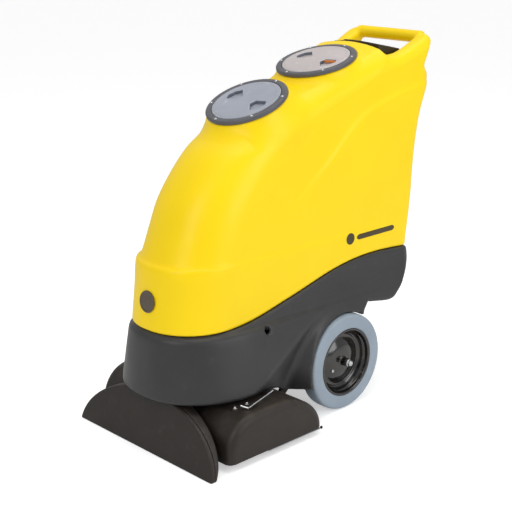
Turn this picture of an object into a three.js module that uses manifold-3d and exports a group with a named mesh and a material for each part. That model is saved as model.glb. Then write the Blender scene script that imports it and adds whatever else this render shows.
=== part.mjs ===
// Walk-behind carpet extractor: one moulded tank with two chambers stands on a wheeled base, with a
// floating vacuum shoe under the nose and a floating brush deck behind the shoe.
// Millimetres. +Z is up, -Y points to the nose and +X to the machine's left side. The origin is on
// the floor, in the middle of the machine's outline.
import * as THREE from "three";
import { mergeVertices } from "three/addons/utils/BufferGeometryUtils.js";
import Module from "manifold-3d";

const wasm = await Module();
wasm.setup();

// ---------------------------------------------------------------- driving dimensions

const gap = 0.3; // clearance between two pieces that rest on each other
const wall = 5; // wall of the moulded shells
const degree = Math.PI / 180;

const wheel = { y: 77, z: 127, radius: 127, rim: 90, width: 45, face: 184 };
const axleRadius = 8;
const capEnd = 199; // the axle caps' outer faces

const lids = {
  front: { y: -102, z: 803, tilt: 23.1 },
  rear: { y: 141, z: 879.5, tilt: 15.7 },
};
const ringRadius = 104;
const collarRadius = 87; // the ring's threaded collar, outside
const throatRadius = 84; // the ring's threaded collar, inside
const mouthRadius = 88.5; // the opening in the ring's top face
const ringDepth = 10;

// The tank's top arches across the machine: half width and rise of the arch, and its line in side view.
const crown = { half: 170, rise: 30, slope: Math.atan2(91, 242), y: 20, z: 794.25 };
const chamberWall = 20; // y of the wall between the two chambers
const floorBehindPanel = 848; // z of the moulded floor under the handle
const armInner = 95;
const armOuter = 149;
const barRadius = 16;

const panel = { front: 277, rear: 360, top: 914, rearTop: 898, bottom: 852, half: 91, thick: 4 };

const shoe = { half: 250, height: 138, power: 1.9, wall: 4, lean: 0.3, rearLean: 0.45 };
const shoeFront = -451; // the shoe's front lip, at the floor
const shoeRear = -432;
const shoeThroat = { y: -414, lean: 0.22, top: 178, inner: 15.5, outer: 18.5 }; // where the hose is pushed on
const shoePivot = { y: -392, z: 150, radius: 5 };

const deck = { half: 245, wall: 4, bottom: 18, front: -389, rear: -77, top: 123 };
const sprayLine = -112; // y of the spray bar
const deckPivot = { y: -40, z: 98, radius: 6 };
const brush = { y: -310, z: 50.5, radius: 48 };
const motor = { y: -172, z: 66, radius: 31 };
const beltPlane = 226; // x of the belt's middle, on the machine's right side
const brushPulley = 30;
const motorPulley = 12;

const badgePlace = { y: -420.2, z: 367, lean: 0.125 };
const boltPlace = { y: -188, z: 277, recess: 9 };
const hoseRadius = 19;
const drain = { x: 60, y: 430, outer: 16, inner: 14.6, top: 690 }; // the drain hose, standing at the rear
const outletPlace = { z: 430, root: 368, end: 390, radius: 12.6, bore: 10 }; // the spigot it is pushed on

// ---------------------------------------------------------------- finishes

const finish = (color, roughness, metalness = 0) =>
  new THREE.MeshStandardMaterial({ color, roughness, metalness });
const yellowShell = finish(0xfedd00, 0.38);
const darkShell = finish(0x444446, 0.55);
const blackShell = finish(0x2f2b29, 0.5);
const greyTyre = finish(0x8c9baa, 0.75);
const glossBlack = finish(0x101010, 0.12);
const lidRing = finish(0x46464e, 0.45);
const clearLid = finish(0xb4b6c3, 0.1);
const steel = finish(0xb8bcc0, 0.25, 1);
const castGrey = finish(0x6f7376, 0.5, 1);
const blackRubber = finish(0x1b1b1b, 0.85);
const greyHose = finish(0x3a3d40, 0.7);
const bristle = finish(0x2b3d5c, 0.9);
const whitePlastic = finish(0xe6e4dc, 0.5);
const orangePlastic = finish(0xd96c1e, 0.4);

// ---------------------------------------------------------------- solid tools

function solid(geometry) {
  const bare = geometry.clone();
  bare.deleteAttribute("normal");
  bare.deleteAttribute("uv");
  const merged = mergeVertices(bare, 1e-3);
  return new wasm.Manifold(
    new wasm.Mesh({
      numProp: 3,
      vertProperties: merged.attributes.position.array,
      triVerts: new Uint32Array(merged.index.array),
    }),
  );
}

function surface(shape) {
  const mesh = shape.getMesh();
  const geometry = new THREE.BufferGeometry();
  geometry.setAttribute("position", new THREE.BufferAttribute(mesh.vertProperties, 3));
  geometry.setIndex(new THREE.BufferAttribute(mesh.triVerts, 1));
  geometry.computeVertexNormals();
  return geometry;
}

const join = (...shapes) => shapes.reduce((all, shape) => all.add(shape));
const cut = (shape, ...tools) => tools.reduce((left, tool) => left.subtract(tool), shape);

// ---------------------------------------------------------------- geometry helpers

const box = (low, high) =>
  new THREE.BoxGeometry(high[0] - low[0], high[1] - low[1], high[2] - low[2]).translate(
    (low[0] + high[0]) / 2,
    (low[1] + high[1]) / 2,
    (low[2] + high[2]) / 2,
  );

// A turned body about +Y. The profile holds [height, radius] points: it starts and ends on the
// axis, or else it closes on itself.
function turned(profile, segments) {
  const loop = profile[0][1] === 0 ? profile : [...profile, profile[0]];
  let area = 0;
  for (let i = 1; i < loop.length; i++) {
    area += loop[i - 1][1] * loop[i][0] - loop[i][1] * loop[i - 1][0];
  }
  const points = loop.map(([height, radius]) => new THREE.Vector2(radius, height));
  return new THREE.LatheGeometry(area > 0 ? points : points.reverse(), segments);
}

const turnedX = (profile, segments = 24) => turned(profile, segments).rotateZ(-Math.PI / 2);
const turnedZ = (profile, segments = 24) => turned(profile, segments).rotateX(Math.PI / 2);

const rodX = (from, to, radius, y, z, segments = 16) =>
  new THREE.CylinderGeometry(radius, radius, to - from, segments)
    .rotateZ(Math.PI / 2)
    .translate((from + to) / 2, y, z);

const rodY = (from, to, radius, x, z, segments = 16) =>
  new THREE.CylinderGeometry(radius, radius, to - from, segments).translate(x, (from + to) / 2, z);

const rodZ = (from, to, radius, x, y, segments = 16) =>
  new THREE.CylinderGeometry(radius, radius, to - from, segments)
    .rotateX(Math.PI / 2)
    .translate(x, y, (from + to) / 2);

// A side-view outline of [y, z] points, run across the machine from x = from to x = to.
function acrossX(outline, from, to) {
  const shape = new THREE.Shape(outline.map(([y, z]) => new THREE.Vector2(y, z)));
  return new THREE.ExtrudeGeometry(shape, { depth: to - from, bevelEnabled: false })
    .rotateX(Math.PI / 2)
    .rotateZ(Math.PI / 2)
    .translate(from, 0, 0);
}

// A front-view outline of [x, z] points, run along the machine from y = from to y = to.
function alongY(outline, from, to) {
  const shape = new THREE.Shape(outline.map(([x, z]) => new THREE.Vector2(x, z)));
  return new THREE.ExtrudeGeometry(shape, { depth: to - from, bevelEnabled: false })
    .rotateX(Math.PI / 2)
    .translate(0, to, 0);
}

function ringShape(outer, inner, points) {
  const shape = new THREE.Shape().absarc(0, 0, outer, 0, 2 * Math.PI);
  if (inner) shape.holes.push(new THREE.Path().absarc(0, 0, inner, 0, 2 * Math.PI, true));
  return { shape, curveSegments: points };
}

// A rod or hose along a smooth line through the points; inner is the bore's radius, 0 for a rod.
function tube(points, outer, inner = 0, steps = 12, sides = 8) {
  const { shape, curveSegments } = ringShape(outer, inner, sides);
  const extrudePath = new THREE.CatmullRomCurve3(points.map((point) => new THREE.Vector3(...point)));
  return new THREE.ExtrudeGeometry(shape, { extrudePath, steps, curveSegments, bevelEnabled: false });
}

const smooth = (points, count) =>
  new THREE.SplineCurve(points.map(([a, b]) => new THREE.Vector2(a, b)))
    .getPoints(count)
    .map((point) => [point.x, point.y]);

// Part of a superellipse about [cx, cz], from angle a0 to a1 in degrees.
function bulge(cx, cz, rx, rz, power, a0, a1, count) {
  return Array.from({ length: count + 1 }, (_, i) => {
    const angle = (a0 + ((a1 - a0) * i) / count) * degree;
    const c = Math.cos(angle);
    const s = Math.sin(angle);
    return [
      cx + rx * Math.sign(c) * Math.abs(c) ** (2 / power),
      cz + rz * Math.sign(s) * Math.abs(s) ** (2 / power),
    ];
  });
}

// The plan outline of a shell at one height, as [x, y] points from the nose round the +X side. The
// nose is a superellipse, the sides widen evenly to the rear, and the rear corners are round.
function planOutline({ half, rearHalf, front, nose, power, rear, corner }) {
  const side = bulge(0, front + nose, half, nose, power, -90, 0, 8);
  for (let i = 0; i <= 3; i++) {
    const angle = (i / 3) * 90 * degree;
    side.push([
      rearHalf - corner + corner * Math.cos(angle),
      rear - corner + corner * Math.sin(angle),
    ]);
  }
  const mirrored = side
    .slice(1)
    .reverse()
    .map(([x, y]) => [-x, y]);
  return [...side, ...mirrored];
}

// A closed skin through plan outlines, lowest first: a cylinder whose rings take the outlines.
function loft(levels) {
  const rings = levels.map((level) => planOutline(level));
  const count = rings[0].length;
  const body = new THREE.CylinderGeometry(1, 1, 1, count, levels.length - 1).rotateX(Math.PI / 2);
  const place = body.attributes.position;
  for (let i = 0; i < place.count; i++) {
    const level = Math.round((place.getZ(i) + 0.5) * (levels.length - 1));
    const onAxis = Math.hypot(place.getX(i), place.getY(i)) < 0.5;
    const turn = Math.atan2(place.getX(i), -place.getY(i)) / (2 * Math.PI);
    const ring = rings[level];
    const middle = (levels[level].front + levels[level].rear) / 2;
    const [x, y] = onAxis ? [0, middle] : ring[(Math.round(turn * count) + count) % count];
    place.setXYZ(i, x, y, levels[level].z);
  }
  return body;
}

const shrink = (levels, by) =>
  levels.map((level) => ({
    ...level,
    half: level.half - by,
    rearHalf: level.rearHalf - by,
    front: level.front + by,
    nose: level.nose - by,
    rear: level.rear - by,
    corner: level.corner - by,
  }));

// ---------------------------------------------------------------- shared outlines

// The seam between tank and base: level round the nose, then rising over the wheel.
const seam = smooth(
  [[-470, 298], [-250, 300], [-89, 331], [84, 372], [225, 383], [400, 371]],
  14,
);
const seamAt = (rise) => seam.map(([y, z]) => [y, z + rise]);
const tailTop = 340; // y where the seam ends at the rear
const seamBack = (rise) =>
  seamAt(rise)
    .filter(([y]) => y < tailTop)
    .reverse();

// Heights of the tank, with its front line, half width at the nose and the rear, and rear line.
const tankLevels = [
  [285, -429, 140, 141, 364],
  [380, -418, 138, 141, 368],
  [445, -412, 136, 142, 378],
  [459, -396, 134, 142, 380],
  [520, -371, 132, 143, 386],
  [580, -346, 129, 144, 389],
  [640, -304, 126, 145, 393],
  [690, -257, 123, 146, 399],
  [735, -196, 120, 147, 408],
  [806, -150, 116, 149, 428],
  [925, -150, 112, 150, 440],
].map(([z, front, half, rearHalf, rear]) => ({
  z,
  front,
  half,
  rearHalf,
  rear,
  nose: 150,
  power: 2.2,
  corner: 38,
}));

const topLine = [[-520, 735], [-215, 735], [-185, 748], [-150, 759], [20, 822], [262, 913], [277, 900]];
const crestInside = [[257, 911], [270, 898]]; // where the crest's top line turns down, inside
const rearShelf = [[277, floorBehindPanel], [460, floorBehindPanel]];

// The base widens downwards to its fenders; its nose bulges more slowly.
const baseLevels = [
  [60, -449, 190, 184, 60],
  [135, -449, 190, 184, 60],
  [200, -443, 180, 184, 66],
  [250, -438, 167, 177, 76],
  [283, -435, 155, 169, 66],
  [298, -424, 142, 165, 58],
  [340, -424, 141, 154, 42],
  [400, -424, 141, 144, 40],
].map(([z, front, half, rearHalf, corner]) => ({
  z,
  front,
  half,
  rearHalf,
  rear: 372,
  nose: 227,
  power: 2.3,
  corner,
}));

const tail = [[356, 374], [369, 352], [360, 318], [336, 286], [302, 263], [262, 250], [181, 262]];
const wheelSide = [[168, 264], [156, 251], [149, 231], [150, 92]];
const scoop = { x: 190, radius: 44 };
const scoopLine = [
  [-122, 30], [-114, 92], [-112, 130], [-103, 165], [-88, 190], [-60, 225], [-32, 260], [20, 320],
];
const baseFoot = [[-108, 92], [-128, 106], [-166, 119], [-215, 135], [-470, 135]];

// ---------------------------------------------------------------- tank

// The lid's plane at its centre: +Z of the group is the lid's own axis.
const lidMatrix = ({ y, z, tilt }) =>
  new THREE.Matrix4().makeTranslation(0, y, z).multiply(new THREE.Matrix4().makeRotationX(tilt * degree));

function handleLoop() {
  const side = [
    [262, 840], [266, 893], [302, 889], [330, 892], [350, 899], [368, 906], [390, 916], [411, 927],
    ...bulge(431, 919, barRadius + 2, barRadius, 2, 100, -40, 5),
    [414, 853], [414, 840],
  ];
  const arm = (from) => solid(acrossX(side, from, from + armOuter - armInner));
  const bar = solid(rodX(-armInner - 10, armInner + 10, barRadius, 431, 919, 14));
  const plan = { half: 114, rearHalf: armOuter, front: -150, nose: 150, power: 2.2, rear: 449, corner: 45 };
  const rounded = solid(loft([{ ...plan, z: 800 }, { ...plan, z: 960 }]));
  return join(arm(armInner), arm(-armOuter), bar).intersect(rounded);
}

function tankBody() {
  const arch = bulge(0, 0, crown.half, crown.rise, 2, 0, 180, 10);
  const crest = alongY([...arch, [-crown.half, -700], [crown.half, -700]], -700, 700);
  crest.rotateX(crown.slope).translate(0, crown.y, crown.z);
  const sideView = [...seamAt(gap), ...[...topLine, ...rearShelf].reverse()];
  const skin = solid(loft(tankLevels)).intersect(solid(acrossX(sideView, -200, 200))).intersect(solid(crest));

  const shelf = floorBehindPanel - wall;
  const ceiling = [...topLine.slice(0, -2), ...crestInside].map(([y, z]) => [y, z - wall]);
  const inset = [...seamAt(wall), [460, shelf], [crestInside[1][0], shelf], ...ceiling.reverse()];
  const hollow = solid(loft(shrink(tankLevels, wall)))
    .intersect(solid(acrossX(inset, -200, 200)))
    .intersect(solid(crest.clone().translate(0, 0, -wall)));
  const solution = hollow.intersect(solid(box([-200, -500, 200], [200, chamberWall - wall / 2, 950])));
  const recovery = hollow.intersect(solid(box([-200, chamberWall + wall / 2, 200], [200, 500, 950])));

  const necks = Object.values(lids).map((lid) =>
    solid(rodZ(-62, -ringDepth - gap, ringRadius - 3, 0, 0, 28).applyMatrix4(lidMatrix(lid))),
  );
  const throats = Object.values(lids).map((lid) =>
    solid(rodZ(-70, 40, collarRadius + 1, 0, 0, 28).applyMatrix4(lidMatrix(lid))),
  );
  const seats = Object.values(lids).map((lid) =>
    solid(rodZ(-ringDepth - gap, 60, ringRadius + 1, 0, 0, 28).applyMatrix4(lidMatrix(lid))),
  );
  const { root, end, radius, bore, z } = outletPlace;
  const outlet = solid(rodY(root, end, radius, drain.x, z, 12));
  const outletBore = solid(rodY(root - 14, end + 14, bore, drain.x, z, 12));
  const pocket = solid(
    box([-panel.half - gap, panel.front - gap, floorBehindPanel], [panel.half + gap, 520, 990]),
  );
  const handRoom = solid(box([-armInner, panel.rear, floorBehindPanel], [armInner, 400, 990]));
  const pipeHoles = [inletPlace, airPlace].map(([x, y]) => solid(rodZ(300, 420, hoseRadius + 1, x, y, 14)));
  const outer = join(cut(skin, pocket), ...necks, outlet, cut(handleLoop(), handRoom));
  return surface(cut(outer, solution, recovery, ...seats, ...throats, outletBore, ...pipeHoles));
}

// ---------------------------------------------------------------- base

function wellOf(side, radius, from, to) {
  const ends = [side * from, side * to].sort((a, b) => a - b);
  return solid(rodX(...ends, radius, wheel.y, wheel.z, 26));
}

// A round scoop in each side of the base, from the floor in front of the wheel up to the seam.
function valley(side, extra) {
  const line = scoopLine.map(([y, z]) => [side * scoop.x, y, z]);
  return solid(tube(line, scoop.radius + extra, 0, 14, 8));
}

function baseShell() {
  const outline = [...baseFoot.slice().reverse(), ...wheelSide.slice().reverse()];
  outline.push(...tail.slice().reverse(), ...seamBack(-gap));
  const outer = cut(
    solid(loft(baseLevels)).intersect(solid(acrossX(outline, -260, 260))),
    valley(1, 0),
    valley(-1, 0),
  );
  const inside = [
    [-470, 40], [144, 40], [144, 233], [151, 255], [165, 269], [181, 267], [262, 255], [299, 268], [331, 290],
    [354, 320], [363, 352],
    ...seamBack(-gap - wall),
  ];
  const hollow = cut(
    solid(loft(shrink(baseLevels, wall))).intersect(solid(acrossX(inside, -260, 260))),
    valley(1, wall),
    valley(-1, wall),
  );
  const shell = cut(outer, hollow);
  const wells = [1, -1].map((side) => wellOf(side, 140, 127, 240).intersect(outer));
  const wheelRoom = [1, -1].map((side) => wellOf(side, 136, 131, 260));
  const holes = [
    rodX(-140, 140, axleRadius + 0.5, wheel.y, wheel.z, 16),
    rodX(-140, 140, deckPivot.radius + 0.5, deckPivot.y, deckPivot.z, 12),
    rodX(-220, 220, boltPlace.recess, boltPlace.y, boltPlace.z, 12),
    rodZ(330, 400, hoseRadius + 1, ...inletPlace, 14),
    rodZ(330, 400, hoseRadius + 1, ...airPlace, 14),
  ].map(solid);
  return surface(cut(join(shell, ...wells), ...wheelRoom, ...holes));
}

// ---------------------------------------------------------------- wheels

// Profiles hold [x, radius] points about the wheel's middle plane, with +x outwards.
const tyreProfile = [
  [-22.5, 90], [22.5, 90], [22.5, 118], [19, 125], [11, 127], [-11, 127], [-19, 125], [-22.5, 118],
];
const hubProfile = [
  [-22, 8.7], [24, 8.7], [24, 12], [2, 13], [-2, 22], [2, 54], [-6, 70], [16, 84], [22, 85], [22, 89.7],
  [-21, 89.7], [-12, 72], [-4, 24], [-22, 18],
];

const halfTrack = wheel.face - wheel.width / 2;
const capProfile = [
  [190 - halfTrack, 0], [190 - halfTrack, 8.5], [24.6, 8.5], [24.6, 10], [32, 9.5],
  [capEnd - 3 - halfTrack, 8], [capEnd - halfTrack, 5], [capEnd - halfTrack, 0],
];
const spacerProfile = [[-29.6, 8.7], [-22.9, 8.7], [-22.9, 15], [-29.6, 15]];

function addWheel(parent, side, name) {
  const place = new THREE.Group();
  place.position.set(side * halfTrack, wheel.y, wheel.z);
  place.rotation.z = side > 0 ? 0 : Math.PI;
  parent.add(place);
  addPart(place, name + "_tyre", turnedX(tyreProfile), greyTyre);
  addPart(place, name + "_hub", turnedX(hubProfile), glossBlack);
  addPart(place, name + "_wheel_spacer", turnedX(spacerProfile, 14), steel);
  addPart(place, name + "_axle_cap", turnedX(capProfile, 14), steel);
}

// ---------------------------------------------------------------- lids

// Profiles hold [height, radius] points above the ring's top face.
const ringProfile = [
  [-24, throatRadius], [-24, collarRadius], [-ringDepth, collarRadius], [-ringDepth, ringRadius],
  [-3, ringRadius], [0, ringRadius - 3], [0, mouthRadius], [-8, mouthRadius], [-8, throatRadius],
];
const lidProfile = [
  [-8, 0], [-8, 76], [-21, 76], [-21, 82.6], [-4, 82.6], [-4, 87.4], [-1, 87.4], [0.5, 86], [0.5, 0],
];
const sealSection = { radius: 85.6, height: -6, thickness: 1.6 };

function addLid(parent, name) {
  const { y, z, tilt } = lids[name];
  const place = new THREE.Group();
  place.position.set(0, y, z);
  place.rotation.x = tilt * degree;
  parent.add(place);
  addPart(place, name + "_lid_ring", turnedZ(ringProfile, 28), lidRing);
  addPart(place, name + "_lid", turnedZ(lidProfile, 28), clearLid);
  const { radius, height, thickness } = sealSection;
  const seal = new THREE.TorusGeometry(radius, thickness, 5, 24).translate(0, 0, height);
  addPart(place, name + "_lid_seal", seal, blackRubber);
}

// ---------------------------------------------------------------- controls and cord

const rocker = { names: ["vacuum_switch", "brush_switch", "spray_switch"], pitch: 46, z: 874 };
const rockerTilt = 8;
const cordPlace = { x: -78, z: 866 };

function controlPanel() {
  const { front, rear, top, rearTop, bottom, half, thick } = panel;
  const side = [
    [front, top - thick], [front, top], [rear, rearTop], [rear, bottom], [rear - thick, bottom],
    [rear - thick, rearTop - thick * 0.8],
  ];
  const windows = rocker.names.map((_, i) => {
    const x = (i - 1) * rocker.pitch + 12;
    return solid(box([x - 12, 340, rocker.z - 17], [x + 12, 380, rocker.z + 15]));
  });
  const cordHole = solid(rodY(rear - 20, rear + 20, 8.5, cordPlace.x, cordPlace.z, 12));
  return surface(cut(solid(acrossX(side, -half, half)), ...windows, cordHole));
}

// A rocker stands with its lower half pressed in, so its top edge stands proud to the rear.
function rockerBody() {
  const side = [[-14, -10], [-14, 10], [4, 13], [2.5, 0], [4, -13]];
  return acrossX(side, -10.5, 10.5);
}

function addControls(parent) {
  addPart(parent, "control_panel", controlPanel(), blackShell);
  rocker.names.forEach((name, i) => {
    const part = addPart(parent, name, rockerBody(), glossBlack);
    part.position.set((i - 1) * rocker.pitch + 12, panel.rear, rocker.z);
    part.rotation.x = rockerTilt * degree;
  });
  const gland = [[-8, 4.6], [-8, 8], [0.4, 8], [0.4, 11], [8, 11], [16, 7], [16, 4.6]];
  const glandBody = turned(gland, 12).translate(cordPlace.x, panel.rear, cordPlace.z);
  addPart(parent, "cord_gland", glandBody, blackRubber);
  const cord = [
    [cordPlace.x, 350, cordPlace.z], [cordPlace.x, 378, cordPlace.z], [cordPlace.x, 415, 870],
    [cordPlace.x, 441, 852], [cordPlace.x, 444, 800], [cordPlace.x, 438, 720], [cordPlace.x, 432, 640],
  ];
  addPart(parent, "power_cord", tube(cord, 4.2, 0, 16, 3), blackRubber);
  const plug = [[581, 0], [581, 15], [611, 17], [632, 8], [639, 6], [639, 0]];
  addPart(parent, "power_plug", turnedZ(plug, 12).translate(cordPlace.x, 432, 0), blackRubber);
}

// ---------------------------------------------------------------- drain hose

function addDrain(parent) {
  const { x, y, outer, inner, top } = drain;
  const line = [
    [x, 382, outletPlace.z], [x, 400, outletPlace.z], [x, 422, 444], [x, y, 475], [x, y, 560], [x, y, 630],
    [x, y, top],
  ];
  addPart(parent, "drain_hose", tube(line, outer, inner, 11, 4), greyHose);
  const cap = [[top - 16, 0], [top - 16, inner - 1.6], [top + 0.5, inner - 1.6], [top + 0.5, 18]];
  cap.push([top + 12, 18], [top + 18, 10], [top + 18, 0]);
  addPart(parent, "drain_cap", turnedZ(cap, 16).translate(x, y, 0), blackRubber);
  const grip = turnedZ([[-8, outer + 0.6], [8, outer + 0.6], [8, outer + 3.6], [-8, outer + 3.6]], 16);
  const foot = box([x - 11, 393.5, 612], [x + 11, y - outer - 1.5, 628]);
  const clip = join(solid(grip.translate(x, y, 620)), solid(foot));
  addPart(parent, "drain_hose_clip", surface(clip), blackShell);
}

// ---------------------------------------------------------------- inside the tank and base

const inletPlace = [-72, 62];
const airPlace = [14, 92];
const pipeTop = 790;
const floatStop = 715; // height of the collar that the float ring rests on

function addAirPath(parent) {
  const inlet = [[338, 16.5], [338, hoseRadius], [pipeTop, hoseRadius], [pipeTop, 16.5]];
  addPart(parent, "inlet_pipe", turnedZ(inlet, 14).translate(...inletPlace, 0), whitePlastic);
  const air = [
    [346, 16.5], [346, hoseRadius], [floatStop - 4, hoseRadius], [floatStop - 4, 24], [floatStop, 24],
    [floatStop, hoseRadius], [pipeTop - 40, hoseRadius], [pipeTop - 40, 16.5],
  ];
  addPart(parent, "air_pipe", turnedZ(air, 14).translate(...airPlace, 0), whitePlastic);
  const hood = [
    [pipeTop - 3, 0], [pipeTop - 3, 16.5], [pipeTop - 39.6, 16.5], [pipeTop - 39.6, hoseRadius],
    [pipeTop - 4, hoseRadius], [pipeTop - 4, 27], [pipeTop, 27], [pipeTop, 0],
  ];
  const windows = [0, 60, 120].map((turn) =>
    solid(box([-40, -6, pipeTop - 32], [40, 6, pipeTop - 8]).rotateZ(turn * degree)),
  );
  const hoodBody = surface(cut(solid(turnedZ(hood, 14)), ...windows));
  addPart(parent, "air_hood", hoodBody.translate(...airPlace, 0), whitePlastic);
  const float = [[gap, 20.4], [gap, 34], [26, 34], [30, 30], [30, 20.4]];
  addPart(parent, "float_ring", turnedZ(float, 16).translate(...airPlace, floatStop), orangePlastic);
  const motorCase = [
    [196, 0], [196, 44], [214, 46], [216, 60], [292, 60], [296, 50], [336, 48], [338, 18], [344, 18], [344, 0],
  ];
  addPart(parent, "vac_motor", turnedZ(motorCase, 20).translate(airPlace[0], airPlace[1] - 20, 0), castGrey);
  const line = [
    [0, -372, 184], [0, -350, 212], [-16, -270, 232], [-50, -150, 236], [-72, -20, 246],
    [inletPlace[0], 50, 284], [...inletPlace, 331],
  ];
  addPart(parent, "vac_hose", tube(line, hoseRadius, 16, 10, 4), greyHose);
}

function addPump(parent) {
  const body = join(
    solid(rodX(60, 130, 26, -80, 190, 16)),
    solid(box([40, -104, 170], [60.5, -56, 216])),
    solid(rodX(30, 40.5, 8, -80, 193, 10)),
  );
  addPart(parent, "pump", surface(body), castGrey);
  const line = [[50, -80, 168], [50, -84, 150], [30, -98, 128], [0, sprayLine, 100], [0, sprayLine, 66]];
  addPart(parent, "pump_hose", tube(line, 6, 0, 8, 4), blackRubber);
}

// ---------------------------------------------------------------- vacuum shoe

// Side-view edges of the shoe: [y, z] at a height, on its front and rear faces.
const shoeFace = (z, inward) => [shoeFront + inward + shoe.lean * z, z];
const shoeBack = (z, inward) => [shoeRear - inward + shoe.rearLean * z, z];
const shoeMiddle = (z, shift) => [(shoeFace(z, 0)[0] + shoeBack(z, 0)[0]) / 2 + shift, z];

function shoeArch(inward) {
  const { half, height, power } = shoe;
  const arch = bulge(0, 0, half - inward, height - inward, power, 0, 180, 20);
  return inward ? [...arch, [inward - half, -60], [half - inward, -60]] : arch;
}

function addShoe(parent) {
  const top = shoe.height + 4;
  const wedge = (inward, low) => [
    shoeFace(low, inward), shoeBack(low, inward), shoeBack(top, inward), shoeFace(top, inward),
  ];
  const outer = solid(alongY(shoeArch(0), -480, -330)).intersect(solid(acrossX(wedge(0, 0), -260, 260)));
  const hollow = solid(alongY(shoeArch(shoe.wall), -480, -330)).intersect(
    solid(acrossX(wedge(shoe.wall, -20), -260, 260)),
  );
  const throat = (radius, from) =>
    solid(rodZ(from, shoeThroat.top, radius, 0, 0, 14).rotateX(-shoeThroat.lean).translate(0, shoeThroat.y, 0));
  const spigot = cut(throat(shoeThroat.outer, 128), hollow);
  const shell = cut(join(outer, spigot), hollow, throat(shoeThroat.inner, 110));
  const frontHalf = [shoeMiddle(-20, -gap / 2), shoeMiddle(top - 22, -gap / 2), [-470, top - 22], [-470, -20]];
  const frontRoom = solid(acrossX(frontHalf, -260, 260));
  const rearRoom = [shoeMiddle(-20, gap / 2), shoeMiddle(top - 22 + gap, gap / 2), [-470, top - 22 + gap]];
  rearRoom.push([-470, 220], [-330, 220], [-330, -20]);
  const ears = [-1, 1].map((side) =>
    cut(
      solid(acrossX([[-404, 132], [-404, 158], [-380, 158], [-380, 132]], side * 51 - 3, side * 51 + 3)),
      solid(rodX(side * 51 - 9, side * 51 + 9, shoePivot.radius + 0.6, shoePivot.y, shoePivot.z, 12)),
    ),
  );
  const rear = join(shell.intersect(solid(acrossX(rearRoom, -260, 260))), ...ears);
  addPart(parent, "shoe_front_shell", surface(shell.intersect(frontRoom)), blackShell);
  addPart(parent, "shoe_rear_shell", surface(rear), blackShell);
}

function addShoePivot(parent) {
  const side = [[-425, 148], [-425, 190], [-412, 190], [-380, 158], [-380, 142], [-404, 142]];
  for (const [name, x] of [["left", 60], ["right", -60]]) {
    const hole = solid(rodX(x - 9, x + 9, shoePivot.radius + 0.4, shoePivot.y, shoePivot.z, 12));
    const plate = cut(solid(acrossX(side, x - 2, x + 2)), hole);
    addPart(parent, name + "_shoe_bracket", surface(plate), steel);
    const pin = rodX(x - 18, x + 6, shoePivot.radius, shoePivot.y, shoePivot.z, 12);
    addPart(parent, name + "_shoe_pin", x > 0 ? pin : pin.translate(12, 0, 0), steel);
  }
}

// ---------------------------------------------------------------- brush deck

function deckOutline(inward, bottom) {
  const { front, rear, top } = deck;
  const rise = top - 25 - inward;
  return [
    [rear - inward, bottom],
    ...bulge(-222, 25, rear + 222 - inward, rise, 1.9, 0, 90, 8),
    ...bulge(-300, 25, -300 - front - inward, rise, 2.2, 90, 180, 8),
    [front + inward, bottom],
  ];
}

function deckHousing() {
  const outer = solid(acrossX(deckOutline(0, deck.bottom), -deck.half, deck.half));
  const inner = solid(acrossX(deckOutline(deck.wall, -20), deck.wall - deck.half, deck.half - deck.wall));
  const armSlots = [1, -1].map((side) =>
    solid(box([side * 100 - 5.5, -112, 36], [side * 100 + 5.5, -60, 76])),
  );
  const hoseHole = solid(rodZ(60, 130, 10, 0, sprayLine, 12));
  return surface(cut(outer, inner, hoseHole, ...armSlots));
}

function deckArm(x) {
  const side = [
    ...bulge(deckPivot.y, deckPivot.z, 12, 12, 2, -50, 130, 6),
    [-99, 58], [-99, 44], [-84, 44],
  ];
  const hole = solid(rodX(x - 9, x + 9, deckPivot.radius + 0.5, deckPivot.y, deckPivot.z, 12));
  return surface(cut(solid(acrossX(side, x - 4, x + 4)), hole));
}

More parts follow.
